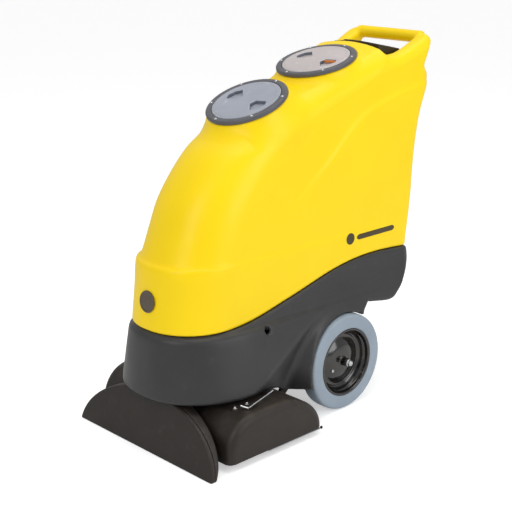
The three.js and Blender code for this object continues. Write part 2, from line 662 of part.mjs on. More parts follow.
function addDeck(parent) {
  addPart(parent, "deck_housing", deckHousing(), blackShell);
  addPart(parent, "left_deck_arm", deckArm(100), steel);
  addPart(parent, "right_deck_arm", deckArm(-100), steel);
  const strip = box([deck.half - 4, -262, 13.6], [deck.half, -80, deck.bottom - gap]);
  addPart(parent, "deck_edge_strip", strip, steel);
  const link = [
    [196, -308, 131], [206, -304, 129], [213.5, -299.5, 127.7], [211, -285, 129.5], [207, -255, 133.5],
    [203, -225, 137.5], [200, -207, 140.4],
  ];
  addPart(parent, "deck_link_rod", tube(link, 2.1, 0, 12, 3), steel);

  const core = [[-238, 0], [-238, 7], [-206, 7], [-206, 22], [222, 22], [222, 7], [236, 7], [236, 0]];
  addPart(parent, "brush_core", turnedX(core, 16).translate(0, brush.y, brush.z), blackShell);
  const hair = [[-204, 22.6], [220, 22.6], [220, brush.radius], [-204, brush.radius]];
  addPart(parent, "brush_bristles", turnedX(hair, 24).translate(0, brush.y, brush.z), bristle);
  const bearing = [[224, 8], [240.5, 8], [240.5, 20], [224, 20]];
  addPart(parent, "brush_bearing", turnedX(bearing, 16).translate(0, brush.y, brush.z), steel);

  const sheave = (bore, radius) => [
    [-beltPlane - 9, bore], [-beltPlane - 9, radius + 3], [-beltPlane - 7, radius + 3],
    [-beltPlane - 7, radius], [-beltPlane + 7, radius], [-beltPlane + 7, radius + 3],
    [-beltPlane + 9, radius + 3], [-beltPlane + 9, bore],
  ];
  addPart(parent, "brush_pulley", turnedX(sheave(7.4, brushPulley), 20).translate(0, brush.y, brush.z), steel);
  const shaft = [
    [-beltPlane - 9, 0], [-beltPlane - 9, motorPulley + 3], [-beltPlane - 7, motorPulley + 3],
    [-beltPlane - 7, motorPulley], [-beltPlane + 7, motorPulley], [-beltPlane + 7, motorPulley + 3],
    [-beltPlane + 9, motorPulley + 3], [-beltPlane + 9, 5], [-190, 5], [-190, 0],
  ];
  addPart(parent, "motor_pulley", turnedX(shaft, 16).translate(0, motor.y, motor.z), steel);
  const motorCase = [
    [-186, 6.5], [-200, 6.5], [-200, 14], [-186, 20], [-182, motor.radius], [30, motor.radius],
    [44, 22], [44, 0], [-160, 0], [-160, 6.5],
  ];
  addPart(parent, "brush_motor", turnedX(motorLoop(motorCase), 18).translate(0, motor.y, motor.z), castGrey);
  addPart(parent, "drive_belt", driveBelt(), blackRubber);

  const bar = join(
    solid(rodX(-195, 195, 6, sprayLine, 48, 10)),
    solid(rodZ(44, 62, 5, 0, sprayLine, 10)),
  );
  addPart(parent, "spray_bar", surface(bar), steel);
  for (const [name, x] of [["left_nozzle", 105], ["right_nozzle", -105]]) {
    const tip = turnedZ([[26, 0], [26, 4], [33, 8], [41.6, 8], [41.6, 0]], 10).translate(x, sprayLine, 0);
    addPart(parent, name, tip, orangePlastic);
  }
}

// The motor case's profile, turned round so that it starts and ends on the axis.
function motorLoop(profile) {
  const last = profile.findIndex(([, radius]) => radius === 0);
  return [...profile.slice(last + 1), ...profile.slice(0, last + 1)];
}

// A flat belt round both pulleys, with straight runs that touch neither flange.
function driveBelt() {
  const run = (grow) => {
    const dy = motor.y - brush.y;
    const dz = motor.z - brush.z;
    const lean = Math.atan2(dz, dy) / degree;
    const spread = Math.acos((brushPulley - motorPulley) / Math.hypot(dy, dz)) / degree;
    return [
      ...bulge(motor.y, motor.z, motorPulley + grow, motorPulley + grow, 2, lean - spread, lean + spread, 8),
      ...bulge(
        brush.y, brush.z, brushPulley + grow, brushPulley + grow, 2, lean + spread, lean + 360 - spread, 14,
      ),
    ];
  };
  const belt = (grow, half) => solid(acrossX(run(grow), -beltPlane - half, -beltPlane + half));
  return surface(cut(belt(3.2, 6), belt(0.9, 9)));
}

// ---------------------------------------------------------------- fixings and badge

function addFixings(parent) {
  addPart(parent, "axle", rodX(-189.5, 189.5, axleRadius, wheel.y, wheel.z, 16), steel);
  addPart(parent, "deck_pivot_rod", rodX(-134, 134, deckPivot.radius, deckPivot.y, deckPivot.z, 12), steel);
  const bolt = [[112, 0], [112, 4], [136, 4], [136, 7.5], [142, 7.5], [143, 6], [143, 0]];
  const boltBody = () => turnedX(bolt, 12).translate(0, boltPlace.y, boltPlace.z);
  addPart(parent, "left_tank_bolt", boltBody(), steel);
  addPart(parent, "right_tank_bolt", boltBody().rotateZ(Math.PI).translate(0, 2 * boltPlace.y, 0), steel);
  const badge = turned([[0, 0], [0, 26.5], [2, 26.5], [3.5, 24.5], [3.5, 0]], 20);
  badge.rotateX(Math.PI - badgePlace.lean).translate(0, badgePlace.y, badgePlace.z);
  addPart(parent, "front_badge", badge, castGrey);
}

// ---------------------------------------------------------------- the machine

function addPart(parent, name, geometry, material) {
  const mesh = new THREE.Mesh(geometry, material);
  mesh.name = name;
  parent.add(mesh);
  return mesh;
}

const machine = new THREE.Group();
addPart(machine, "tank_body", tankBody(), yellowShell);
addPart(machine, "base_shell", baseShell(), darkShell);
addWheel(machine, 1, "left");
addWheel(machine, -1, "right");
addLid(machine, "front");
addLid(machine, "rear");
addControls(machine);
addDrain(machine);
addAirPath(machine);
addPump(machine);
addShoe(machine);
addShoePivot(machine);
addDeck(machine);
addFixings(machine);

export default machine;
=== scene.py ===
"""Looks of the walk-behind carpet extractor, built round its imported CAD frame.

The mouldings are fields: functions of x, y and z in millimetres that are negative inside. Each is meshed on
a grid, and its vertices are then moved onto the field's surface. +X is the machine's left, -Y is its nose and
+Z is up.
"""

import math

import bpy
import numpy as np
import openvdb as vdb
from mathutils import Matrix, Vector


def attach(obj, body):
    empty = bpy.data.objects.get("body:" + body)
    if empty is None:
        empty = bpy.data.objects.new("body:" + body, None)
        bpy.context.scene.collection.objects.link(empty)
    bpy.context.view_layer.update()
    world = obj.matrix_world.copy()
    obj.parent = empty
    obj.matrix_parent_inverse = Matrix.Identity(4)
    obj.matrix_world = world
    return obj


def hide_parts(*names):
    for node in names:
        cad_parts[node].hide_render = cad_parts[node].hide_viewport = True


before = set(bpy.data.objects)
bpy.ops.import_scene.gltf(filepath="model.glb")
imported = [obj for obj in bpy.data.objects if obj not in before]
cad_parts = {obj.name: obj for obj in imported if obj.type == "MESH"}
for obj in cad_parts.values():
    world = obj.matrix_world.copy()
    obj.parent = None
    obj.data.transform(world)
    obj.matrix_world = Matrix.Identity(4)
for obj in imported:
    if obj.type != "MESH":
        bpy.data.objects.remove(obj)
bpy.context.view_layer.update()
rng = np.random.default_rng(11)
MM = 0.001
CELL_SCALE = 1.0


# ------------------------------------------------------------------ places and sizes that pieces share, in mm

SHELL = 10  # thickness of the tank and the base as drawn
WHEEL_X, WHEEL_Y, WHEEL_Z = 161.5, 77, 127
ARCH = 129.5  # radius of the wheel arches
WELL = 131  # from the middle to each wheel well's inner wall
AXLE_HOLE, PIVOT_HOLE, BOLT_RECESS = 8.6, 6.6, 9
PIVOT_Y, PIVOT_Z = -40, 98  # the deck's pivot rod
BOLT_Y, BOLT_Z = -188, 277
PARTITION_Y = 20  # the wall between the tank's two chambers
GRIP_Y, GRIP_Z, GRIP_RADIUS, GRIP_HALF = 431, 919.5, 16, 106
SHELF_Z = 848  # the moulded shelf behind the crest, under the control panel
DRAIN_X, DRAIN_Z = 60, 430
CORD_X, CORD_Z = -78, 866
BRUSH_Y, BRUSH_Z = -310, 50.5
PANEL_HALF, PANEL_Y = 91, 360
SWITCHES = (("vacuum", -34), ("brush", 12), ("spray", 58))

# ------------------------------------------------------------------ curves

def spline(points, per=10):
    """A smooth line through points, as an array of closely spaced points."""
    p = np.array(points, float)
    p = np.vstack([2 * p[0] - p[1], p, 2 * p[-1] - p[-2]])
    t = np.linspace(0, 1, per, endpoint=False)[:, None]
    runs = []
    for a, b, c, d in zip(p, p[1:], p[2:], p[3:]):
        curve = 2 * b + (c - a) * t + (2 * a - 5 * b + 4 * c - d) * t**2
        runs.append((curve + (3 * b - a - 3 * c + d) * t**3) / 2)
    return np.vstack([*runs, p[-2:-1]])


def arc(cx, cy, rx, ry, start, end, power=2.0, count=12):
    """Points round part of a superellipse; angles in degrees."""
    t = np.radians(np.linspace(start, end, count + 1))
    c, s = np.cos(t), np.sin(t)
    x = cx + rx * np.sign(c) * np.abs(c) ** (2 / power)
    y = cy + ry * np.sign(s) * np.abs(s) ** (2 / power)
    return np.column_stack([x, y])


def rounded(points, radius, steps=4):
    """A closed outline with each corner cut by an arc, where its sides are long enough."""
    p = np.array(points, float)
    out = []
    for i, corner in enumerate(p):
        before = p[i - 1] - corner
        after = p[(i + 1) % len(p)] - corner
        reach = min(radius, 0.45 * np.hypot(*before), 0.45 * np.hypot(*after))
        a = corner + before / np.hypot(*before) * reach
        b = corner + after / np.hypot(*after) * reach
        for t in np.linspace(0, 1, steps):
            out.append((1 - t) ** 2 * a + 2 * t * (1 - t) * corner + t**2 * b)
    return np.array(out)


class Line:
    """A height that changes smoothly along one axis."""

    def __init__(self, points, per=10):
        line = spline(points, per)
        self.t, self.v = line[:, 0], line[:, 1]
        self.steepness = np.gradient(self.v, self.t)

    def at(self, t):
        return np.interp(t, self.t, self.v)

    def slope(self, t):
        return np.interp(t, self.t, self.steepness)

    def over(self, t, height):
        """Distance above the line."""
        return (height - self.at(t)) / np.sqrt(1 + self.slope(t) ** 2)


# ------------------------------------------------------------------ fields: negative inside, in mm

def meet(a, b, radius):
    """What is inside both, with a round edge."""
    return np.minimum(-radius, np.maximum(a, b)) + np.hypot(
        np.maximum(radius + a, 0), np.maximum(radius + b, 0)
    )


def merge(a, b, radius):
    """What is inside either, with a round inner corner."""
    return -meet(-a, -b, radius)


def outline(points, u, v):
    """Distance to a closed outline."""
    best = np.full(np.broadcast(u, v).shape, 1e12)
    inside = np.zeros(best.shape, bool)
    for (ax, ay), (bx, by) in zip(points, np.roll(points, -1, axis=0)):
        ex, ey = bx - ax, by - ay
        length = ex * ex + ey * ey
        if length < 1e-9:
            continue
        t = np.clip(((u - ax) * ex + (v - ay) * ey) / length, 0, 1)
        best = np.minimum(best, (u - ax - t * ex) ** 2 + (v - ay - t * ey) ** 2)
        if abs(ey) > 1e-9:
            inside ^= ((ay > v) != (by > v)) & (u < ex * (v - ay) / ey + ax)
    return np.where(inside, -1, 1) * np.sqrt(best)


def superellipse(u, v, a, b, power):
    """Distance to a superellipse, with the direction of its second axis at each point."""
    u = np.maximum(np.abs(u), 1e-4) / a
    v = np.maximum(np.abs(v), 1e-4) / b
    h = (u**power + v**power) ** (1 / power)
    gu = (u / h) ** (power - 1) / a
    gv = (v / h) ** (power - 1) / b
    g = np.hypot(gu, gv)
    return (h - 1) / g, gv / g


# ------------------------------------------------------------------ meshes

def add_mesh(name, points, faces, material, body, *nodes, slot=None):
    """A smooth-shaded piece that rides a body and stands in for CAD nodes; points are in mm."""
    mesh = bpy.data.meshes.new(name)
    mesh.from_pydata([tuple(p) for p in np.asarray(points) * MM], [], [tuple(f) for f in faces])
    mesh.validate()
    mesh.polygons.foreach_set("use_smooth", [True] * len(mesh.polygons))
    thing = bpy.data.objects.new(name, mesh)
    bpy.context.scene.collection.objects.link(thing)
    thing.data.materials.append(material)
    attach(thing, body)
    if nodes:
        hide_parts(*nodes)
    return thing


def settle(points, quads, field, rounds):
    """Evens out the vertices and moves them onto the field's surface."""
    edges = np.vstack([quads[:, [0, 1]], quads[:, [1, 2]], quads[:, [2, 3]], quads[:, [3, 0]]])
    count = np.bincount(edges[:, 0], minlength=len(points))[:, None]
    reach = 0.4
    corners = reach * np.array([[1, -1, -1], [-1, -1, 1], [-1, 1, -1], [1, 1, 1]])
    for step in range(rounds + 1):
        if step:
            around = np.column_stack(
                [np.bincount(edges[:, 0], points[edges[:, 1], i], len(points)) for i in range(3)]
            )
            points = points + 0.6 * (around / np.maximum(count, 1) - points)
        for _ in range(2 if step == rounds else 1):
            probes = [field(*(points + corner).T) for corner in corners]
            slope = sum(corner * value[:, None] for corner, value in zip(corners, probes))
            slope = slope / (4 * reach**2)
            size = np.maximum((slope**2).sum(1), 0.2)
            step_size = np.clip(sum(probes) / 4 / size, -4, 4)
            points = points - slope * step_size[:, None]
    return points


def skin(name, field, low, high, cell, material, body, *nodes, slot=None, rounds=3):
    """A mesh of the field's surface inside a box."""
    cell *= CELL_SCALE
    low, high = np.array(low, float), np.array(high, float)
    shape = np.ceil((high - low) / cell).astype(int) + 1
    x, y, z = (low[i] + cell * np.arange(shape[i]) for i in range(3))
    values = field(x[:, None, None], y[None, :, None], z[None, None, :])
    grid = vdb.FloatGrid(1e6)
    grid.copyFromArray(np.ascontiguousarray(np.broadcast_to(values, shape), dtype=np.float32))
    points, quads = grid.convertToQuads(isovalue=0.0)
    points = settle(low + points.astype(float) * cell, quads, field, rounds)
    a, b, c, d = (points[quads[:, i]] for i in range(4))
    volume = (np.cross(b - a, c - a) * a).sum() + (np.cross(c - a, d - a) * a).sum()
    if volume < 0:
        quads = quads[:, ::-1]
    return add_mesh(name, points, quads, material, body, *nodes, slot=slot)


def turned(name, profile, centre, axis, material, body, *nodes, round_by=1.0, slot=None, sides=96):
    """A turned piece: profile holds [height, radius] points along the axis from centre."""
    p = rounded(profile, round_by) if round_by else np.array(profile, float)
    p[:, 1] = np.maximum(p[:, 1], 0.02)
    turn = np.linspace(0, 2 * np.pi, sides, endpoint=False)
    ring = np.stack(
        [
            np.outer(p[:, 1], np.cos(turn)),
            np.outer(p[:, 1], np.sin(turn)),
            np.repeat(p[:, :1], sides, axis=1),
        ],
        axis=-1,
    ).reshape(-1, 3)
    basis = np.array(Vector(axis).to_track_quat("Z", "Y").to_matrix())
    points = ring @ basis.T + np.array(centre)
    n = len(p)
    faces = [
        (i * sides + j, i * sides + (j + 1) % sides, (i + 1) % n * sides + (j + 1) % sides,
         (i + 1) % n * sides + j)
        for i in range(n)
        for j in range(sides)
    ]
    a, b, c = (points[[f[i] for f in faces]] for i in range(3))
    middle = points.mean(0)
    if (np.cross(b - a, c - a) * (a - middle)).sum() < 0:
        faces = [f[::-1] for f in faces]
    return add_mesh(name, points, faces, material, body, *nodes, slot=slot)


def swept(name, line, radius, material, body, *nodes, slot=None, sides=20):
    """A tube along a line; radius is one number or one per point."""
    line = np.array(line, float)
    radius = np.broadcast_to(radius, len(line))
    along = np.gradient(line, axis=0)
    along /= np.linalg.norm(along, axis=1)[:, None]
    side = np.cross(along[0], [0.3, 0.9, 0.2])
    turn = np.linspace(0, 2 * np.pi, sides, endpoint=False)
    points = []
    for p, d, r in zip(line, along, radius):
        side = side - d * np.dot(side, d)
        side /= np.linalg.norm(side)
        other = np.cross(d, side)
        points.append(p + r * (np.outer(np.cos(turn), side) + np.outer(np.sin(turn), other)))
    points = np.vstack(points)
    n = len(line)
    faces = [
        (i * sides + j, i * sides + (j + 1) % sides, (i + 1) * sides + (j + 1) % sides,
         (i + 1) * sides + j)
        for i in range(n - 1)
        for j in range(sides)
    ]
    faces += [tuple(range(sides))[::-1], tuple(range((n - 1) * sides, n * sides))]
    return add_mesh(name, points, faces, material, body, *nodes, slot=slot)


# ------------------------------------------------------------------ materials

def linear(r, g, b):
    """A screen colour, 0 to 255 in each channel, as Blender's linear colour."""
    channels = [((c / 255 + 0.055) / 1.055) ** 2.4 if c > 10 else c / 255 / 12.92 for c in (r, g, b)]
    return (*channels, 1)


def finish(name, colour, rough, grain=600, bump=0.15, drift=0.06, wear_and_edge_sheen_colour=None, wear_and_edge_sheen=0.0, metal=0.0,
           coat=0.0, glass=0.0, stretch=(1, 1, 1), dust=0.0, shine=0.5):
    """A procedural finish: colour that drifts, uneven sheen, a moulded or brushed grain, wear and scuffs, and
    a painted highlight on convex edges that also stands for wear.
    """
    material = bpy.data.materials.new(name)
    material.use_nodes = True
    tree = material.node_tree
    shader = tree.nodes["Principled BSDF"]

    def node(kind, **inputs):
        made = tree.nodes.new(kind)
        for key, value in inputs.items():
            made.inputs[key.replace("_", " ")].default_value = value
        return made

    def join(a, b):
        tree.links.new(a, b)

    place = node("ShaderNodeTexCoord")
    mapping = node("ShaderNodeMapping", Scale=stretch)
    join(place.outputs["Object"], mapping.inputs["Vector"])

    def noise(scale, detail, where=mapping.outputs[0]):
        made = node("ShaderNodeTexNoise", Scale=scale, Detail=detail, Roughness=0.55)
        join(where, made.inputs["Vector"])
        return made.outputs["Fac"]

    def ramp(value, low, high, out_low=0.0, out_high=1.0):
        made = tree.nodes.new("ShaderNodeMapRange")
        for i, number in enumerate((low, high, out_low, out_high)):
            made.inputs[i + 1].default_value = number
        join(value, made.inputs[0])
        return made.outputs[0]

    def mix(factor, a, b):
        made = tree.nodes.new("ShaderNodeMix")
        made.data_type = "RGBA"
        join(factor, made.inputs[0])
        for value, slot in ((a, 6), (b, 7)):
            if isinstance(value, tuple):
                made.inputs[slot].default_value = value
            else:
                join(value, made.inputs[slot])
        return made.outputs[2]

    base = linear(*colour)
    darker = tuple(c * (1 - 2 * drift) for c in base[:3]) + (1,)
    lighter = tuple(min(1, c * (1 + drift)) for c in base[:3]) + (1,)
    shade = mix(ramp(noise(5, 3), 0.35, 0.65), darker, lighter)
    geometry = tree.nodes.new("ShaderNodeNewGeometry")
    if wear_and_edge_sheen:
        # Painted highlight and wear: convex edges, found by pointiness, take the lighter second colour.
        edge = ramp(geometry.outputs["Pointiness"], 0.52, 0.6, 0, wear_and_edge_sheen)
        shade = mix(edge, shade, linear(*(wear_and_edge_sheen_colour or colour)))
        scuffs = ramp(noise(45, 6), 0.6, 0.72, 0, wear_and_edge_sheen * 0.5)
        shade = mix(scuffs, shade, linear(*(wear_and_edge_sheen_colour or colour)))
    if dust:
        split = tree.nodes.new("ShaderNodeSeparateXYZ")
        join(geometry.outputs["Normal"], split.inputs[0])
        up = tree.nodes.new("ShaderNodeMath")
        up.operation = "MULTIPLY"
        join(ramp(split.outputs[2], 0.3, 1.0, 0, dust), up.inputs[0])
        join(ramp(noise(22, 5), 0.35, 0.7), up.inputs[1])
        shade = mix(up.outputs[0], shade, linear(150, 146, 138))
    join(shade, shader.inputs["Base Color"])
    join(ramp(noise(14, 4), 0.3, 0.7, rough * 0.86, min(1, rough * 1.16)), shader.inputs["Roughness"])
    shader.inputs["Metallic"].default_value = metal
    shader.inputs["Specular IOR Level"].default_value = shine
    shader.inputs["Coat Weight"].default_value = coat
    shader.inputs["Coat Roughness"].default_value = 0.12
    shader.inputs["Transmission Weight"].default_value = glass
    if glass:
        shader.inputs["IOR"].default_value = 1.3
    rise = node("ShaderNodeBump", Strength=bump, Distance=0.001)
    join(noise(grain, 2), rise.inputs["Height"])
    join(rise.outputs[0], shader.inputs["Normal"])
    return material


# Each finish's second, lighter colour goes on its scuffs, and on its convex edges as wear and painted edge
# highlight.
yellow = finish("yellow_shell", (255, 218, 0), 0.38, grain=420, bump=0.06, drift=0.012,
                wear_and_edge_sheen_colour=(255, 240, 70), wear_and_edge_sheen=0.05, shine=0.3)
dark = finish("dark_shell", (43, 43, 44), 0.42, grain=900, bump=0.22, drift=0.06, wear_and_edge_sheen_colour=(80, 80, 80),
              wear_and_edge_sheen=0.25, dust=0.08)
black = finish("black_shell", (36, 29, 25), 0.46, grain=900, bump=0.2, drift=0.08, wear_and_edge_sheen_colour=(78, 70, 64),
               wear_and_edge_sheen=0.3, dust=0.1, shine=0.4)
tyre = finish("grey_tyre", (150, 163, 176), 0.72, grain=500, bump=0.3, drift=0.04, wear_and_edge_sheen_colour=(196, 204, 212),
              wear_and_edge_sheen=0.2, shine=0.3)
gloss = finish("gloss_black", (15, 11, 9), 0.14, grain=120, bump=0.03, drift=0.1, shine=0.9)
ring_grey = finish("lid_ring", (82, 82, 89), 0.42, grain=800, bump=0.15, drift=0.06, wear_and_edge_sheen_colour=(124, 124, 132),
                   wear_and_edge_sheen=0.3, dust=0.15)
clear = finish("clear_lid", (186, 191, 203), 0.16, grain=60, bump=0.03, drift=0.06, wear_and_edge_sheen_colour=(244, 246, 250),
               wear_and_edge_sheen=0.7, glass=0.3)
misted = finish("misted_lid", (222, 213, 212), 0.16, grain=60, bump=0.03, drift=0.04, wear_and_edge_sheen_colour=(250, 250, 250),
                wear_and_edge_sheen=0.7, glass=0.3)
steel = finish("bright_steel", (196, 198, 200), 0.22, grain=700, bump=0.08, metal=1.0, stretch=(1, 1, 12))
cast = finish("motor_case", (112, 116, 118), 0.5, grain=500, bump=0.3, metal=0.8, drift=0.1)
rubber = finish("black_rubber", (26, 26, 27), 0.75, grain=700, bump=0.25, drift=0.1)
hose_grey = finish("grey_hose", (58, 61, 64), 0.62, grain=500, bump=0.15, drift=0.08)
hair = finish("bristle", (43, 61, 92), 0.6, grain=900, bump=0.3, drift=0.2)
white = finish("white_plastic", (230, 228, 220), 0.45, grain=500, bump=0.1, drift=0.04)
orange = finish("orange_plastic", (228, 132, 48), 0.4, grain=500, bump=0.1, drift=0.06)
badge_face = finish("badge", (74, 62, 44), 0.42, grain=260, bump=0.12, drift=0.12, coat=0.3)
# Painted shade for the finger pockets' walls, which lie in shadow.
pocket_shade_glaze = finish("painted_pocket_shade", (128, 133, 145), 0.2, grain=60, bump=0.03, drift=0.05, glass=0.2)
decal = finish("decal", (66, 54, 14), 0.45, grain=500, bump=0.05, drift=0.08)


# ------------------------------------------------------------------ tank

LIDS = {
    "front": {"centre": (0, -102, 803), "tilt": math.radians(23.1), "fillet": 44},
    "rear": {"centre": (0, 141, 879.5), "tilt": math.radians(15.7), "fillet": 20},
}
for lid in LIDS.values():
    lid["axis"] = (0, -math.sin(lid["tilt"]), math.cos(lid["tilt"]))


def lid_place(lid, x, y, z):
    """Height above the lid ring's top face, and distance from its axis."""
    _, ay, az = lid["axis"]
    dy, dz = y - lid["centre"][1], z - lid["centre"][2]
    return dy * ay + dz * az, np.hypot(x, dy * az - dz * ay)


# height of the joint between tank and base, along the machine
SEAM = Line([[-470, 298], [-250, 300], [-89, 331], [84, 372], [225, 383], [400, 371]], 14)

# each row: height, y of the front, half the width in front and at the rear, y of the rear, corner radius
TANK = np.array([
    [285, -429, 140, 141, 364, 30], [380, -418, 138, 141, 368, 30], [445, -412, 136, 142, 378, 34],
    [459, -396, 134, 142, 380, 34], [520, -371, 132, 143, 386, 36], [580, -346, 129, 144, 389, 38],
    [640, -304, 126, 145, 393, 38], [690, -257, 123, 146, 399, 38], [735, -196, 120, 147, 408, 38],
    [806, -150, 116, 149, 428, 38], [925, -150, 112, 151, 449, 44],
])
BASE = np.array([
    [60, -449, 190, 184, 372, 60], [135, -449, 190, 184, 372, 60], [200, -443, 180, 184, 372, 66],
    [250, -438, 171, 178, 372, 76], [283, -435, 162, 171, 372, 66], [298, -426, 148, 166, 372, 58],
    [340, -424, 141, 154, 372, 42], [400, -424, 141, 144, 372, 40],
])


class Walls:
    """The upright walls of a moulding: a superelliptic nose, sides and round rear corners."""

    def __init__(self, table, nose, power):
        self.front, self.half, self.rear_half, self.rear, self.corner = (
            Line(table[:, [0, i]]) for i in range(1, 6)
        )
        self.nose, self.power = nose, power

    def at(self, x, y, z, ridge=0.0):
        half, front, rear = self.half.at(z), self.front.at(z), self.rear.at(z)
        middle = front + self.nose
        nose, facing = superellipse(x, np.maximum(middle - y, 0), half, self.nose, self.power)
        nose = nose / np.sqrt(1 + (facing * self.front.slope(z)) ** 2)
        back = np.clip((y - middle) / (rear - middle), 0, 1)
        side = np.abs(x) - half - (self.rear_half.at(z) - half) * back
        sides = np.where(y < middle, nose, side) - ridge
        return meet(sides, (y - rear) / np.sqrt(1 + self.rear.slope(z) ** 2), self.corner.at(z))


tank_walls = Walls(TANK, 150, 2.2)
base_walls = Walls(BASE, 227, 2.3)
# the tank's ridge, and the line where each side steps out
TOP = Line([[-520, 737], [-215, 737], [-150, 760], [20, 822], [262, 911.5], [420, 970]])
CREASE = Line([[-200, 470], [-71, 560], [47, 647], [166, 743], [288, 787], [397, 807], [470, 812]])
ARM_TOP = spline([[190, 830], [262, 889], [290, 886], [320, 888.5], [349, 897], [368, 904.5], [390, 914],
                  [408, 922]], 4)
ARM_END = arc(GRIP_Y, 915.5, 18, 15.5, 115, -40, count=10)
ARM = np.vstack([[[150, 760]], ARM_TOP, ARM_END, [[414, 853], [414, 790]]])


def crease_ridge(y, z):
    """The rear of each side stands a little proud below a soft line."""
    below = CREASE.over(y, z)
    step = 1 / (1 + np.exp(np.clip(below / 3, -30, 30)))
    fade = np.exp(-np.maximum(-below, 0) / 90) * np.clip((y + 110) / 160, 0, 1)
    return 4.6 * step * fade


def tank_top(x, y, z):
    """Distance above the crowned top."""
    drop = 64 * (1 - np.sqrt(np.maximum(1 - (np.abs(x) / 172) ** 2, 0.02)))
    return TOP.over(y, z + drop)


def tank_block(x, y, z):
    """The tank's outer shape with the handle's two arms, without bar and necks."""
    cover = meet(tank_top(x, y, z), merge(y - 272, z - SHELF_Z, 8), 8)
    arms = meet(95 - np.abs(x), outline(ARM, y, z), 14)
    walls = tank_walls.at(x, y, z, crease_ridge(y, z))
    edge = 42 - 14 * np.clip((y - 250) / 90, 0, 1) - 24 * np.clip((-60 - y) / 130, 0, 1)
    return meet(walls, merge(cover, arms, 6), edge)


def tank_hollow(x, y, z):
    """The two chambers."""
    hollow = meet(tank_walls.at(x, y, z) + SHELL, tank_top(x, y, z) + SHELL, 30)
    hollow = meet(hollow, merge(y - 266, z - SHELF_Z + SHELL, 6), 6)
    return meet(hollow, SHELL / 2 - np.abs(y - PARTITION_Y), 4)


# the tank's openings: a lid's neck, the ring's seat and the throat, then the spigot of the drain
NECK, SEAT, THROAT = 101, 105.2, 88.2  # radii
SPIGOT, SPIGOT_BORE, SPIGOT_END = 12.6, 10, 390  # two radii, and the y of its end


def tank_field(x, y, z):
    block = tank_block(x, y, z)
    grip = np.maximum(np.hypot(y - GRIP_Y, z - GRIP_Z) - GRIP_RADIUS, np.abs(x) - GRIP_HALF)
    outer = merge(block, grip, 9)
    for lid in LIDS.values():
        height, out = lid_place(lid, x, y, z)
        neck = meet(meet(out - NECK, height + 10.4, 5), -90 - height, 5)
        outer = merge(outer, neck, lid["fillet"])
    outer = meet(outer, -(SEAM.over(y, z) - 0.6), 3.5)
    hollow = meet(meet(tank_hollow(x, y, z), SHELL - SEAM.over(y, z), 4), block + SHELL - 1, 1)
    for lid in LIDS.values():
        height, out = lid_place(lid, x, y, z)
        outer = meet(outer, -meet(out - THROAT, -75 - height, 1), 1.5)
        outer = meet(outer, -meet(out - SEAT, -10.3 - height, 1), 1.5)
    outlet = np.hypot(x - DRAIN_X, z - DRAIN_Z)
    outer = merge(outer, meet(meet(outlet - SPIGOT, y - SPIGOT_END, 1), 350 - y, 1), 4)
    outer = meet(outer, -meet(outlet - SPIGOT_BORE, 340 - y, 1), 0.8)
    return meet(outer, -hollow, 1.5)


skin("tank_shell", tank_field, (-160, -440, 280), (160, 460, 945), 4.0, yellow, "machine", "tank_body",
     slot="yellow_shell")


# ------------------------------------------------------------------ base

# side outlines: the tail's lower edge, and the whole base
TAIL = spline([[181, 262], [257, 251], [290, 265], [324, 293], [350, 324], [366, 354], [356, 378]], 5)
BELLY = [[-500, 135], [-215, 135], [-166, 119], [-128, 105], [-106, 88.5], [144, 89.5], [144, 220],
         [155, 247], [172, 265]]
BASE_SIDE = np.vstack([BELLY, TAIL, [[340, 440], [-500, 440]]])


SIDE_HOLES = ((WHEEL_Y, WHEEL_Z, AXLE_HOLE), (PIVOT_Y, PIVOT_Z, PIVOT_HOLE), (BOLT_Y, BOLT_Z, BOLT_RECESS))
PIPE_HOLES = ((-72, 62), (14, 92))  # x and y of the two pipes through the base's top
PIPE_HOLE = 20  # their radius


def recess_field(across, y, z, wheel):
    """The hollow ahead of each wheel: a slanting face behind the nose, and a flare out to the arch."""
    back = merge(y, -20, 60) - np.maximum(y - 60, 0)
    slant = 0.917 * (across - 184) + 0.276 * (back + 184) - 0.289 * (z - 194.5)
    flare = (across - 190 + 1.2 * (wheel - 132)) / math.hypot(1, 1.2)
    return meet(meet(-slant, -flare, 16), 127 - across, 10)


def base_field(x, y, z):
    across = np.abs(x)
    walls = base_walls.at(x, y, z)
    seam = SEAM.over(y, z)
    wheel = np.hypot(y - WHEEL_Y, z - WHEEL_Z)
    recess = recess_field(across, y, z, wheel)
    body = meet(walls, outline(BASE_SIDE, y, z), 9)
    body = meet(body, -recess, 5)
    body = meet(body, seam + 1.2, 4)
    hollow = meet(meet(walls + SHELL, outline(BASE_SIDE, y, z) + SHELL, 3), seam + SHELL, 3)
    hollow = merge(hollow, meet(walls + SHELL, np.maximum(z - 150, y - 150), 3), 3)
    hollow = meet(hollow, SHELL - recess, 3)
    hollow = meet(hollow, -meet(wheel - ARCH - SHELL, WELL - SHELL - across, 2), 2)
    body = meet(body, -hollow, 1.5)
    body = meet(body, -meet(wheel - ARCH, WELL - across, 2), 2.5)
    for hole_y, hole_z, radius in SIDE_HOLES:
        body = meet(body, radius - np.hypot(y - hole_y, z - hole_z), 1)
    for hole_x, hole_y in PIPE_HOLES:
        body = np.maximum(body, -np.maximum(np.hypot(x - hole_x, y - hole_y) - PIPE_HOLE, 330 - z))
    return body


skin("base_moulding", base_field, (-200, -458, 84), (200, 380, 396), 4.0, dark, "machine", "base_shell",
     slot="dark_shell")


# ------------------------------------------------------------------ shoe and deck

SHOE_HALF, SHOE_HEIGHT, SHOE_WALL = 250, 138, 4


